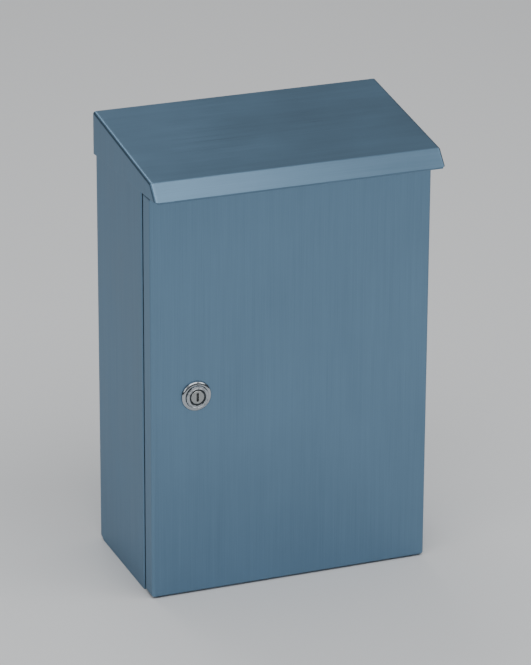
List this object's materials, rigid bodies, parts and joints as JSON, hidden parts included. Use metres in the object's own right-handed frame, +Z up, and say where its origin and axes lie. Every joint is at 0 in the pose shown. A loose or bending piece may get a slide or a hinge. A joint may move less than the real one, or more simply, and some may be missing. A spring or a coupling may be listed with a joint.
{
  "type": "mailbox",
  "caption": "Wall mailbox in brushed stainless sheet with a hinged sloping roof over the mail mouth and a locking front door on side pivots.",
  "frame": {"origin": "middle of the overall footprint at the height of the base", "axes": "+Z up, -Y out of the door's face towards the person in front, +Y towards the wall, +X to the right of that person"},
  "size_m": [0.262, 0.16, 0.403],
  "materials": {
    "brushed_stainless": "brushed stainless sheet, fine straight grain, cool grey",
    "mill_stainless": "stainless sheet as rolled, matt",
    "chrome": "polished chrome plate",
    "zinc": "zinc-plated steel",
    "plug_nickel": "nickel-plated lock plug, worn satin",
    "brass": "plain brass tumblers",
    "rubber": "black rubber buffers",
    "nylon": "natural nylon washers"
  },
  "bodies": {
    "body": {"body_shell": "brushed_stainless", "floor_pan": "mill_stainless", "top_rail": "mill_stainless", "strike_plate": "zinc", "lower_bracket": "mill_stainless", "upper_bracket": "mill_stainless", "lower_pivot_pin": "zinc", "upper_pivot_pin": "zinc", "pivot_washers": "nylon", "roof_buffers": "rubber", "hinge_leaf_fixed": "mill_stainless", "hinge_rivets": "zinc", "hinge_rod": "zinc"},
    "roof": {"roof_lid": "brushed_stainless", "hinge_leaf_moving": "mill_stainless"},
    "door": {"door_panel": "brushed_stainless", "lock_rosette": "chrome", "lock_body": "chrome", "lock_washer": "zinc", "lock_nut": "zinc"},
    "lock_cylinder": {"lock_plug": "plug_nickel", "lock_wafers": "brass", "lock_cam": "zinc", "cam_washer": "zinc", "cam_screw": "zinc"}
  },
  "joints": [
    {"name": "roof_hinge", "type": "hinge", "parent": "body", "child": "roof", "pos_m": [0, 0.0757, 0.39867], "axis": [-1, 0, 0], "range_deg": [0, 80]},
    {"name": "door_hinge", "type": "hinge", "parent": "body", "child": "door", "pos_m": [0.1235, -0.045, 0.184], "axis": [0, 0, 1], "range_deg": [0, 110]},
    {"name": "lock_turn", "type": "hinge", "parent": "door", "child": "lock_cylinder", "pos_m": [-0.087, -0.058, 0.185], "axis": [0, -1, 0], "range_deg": [0, 90]}
  ]
}
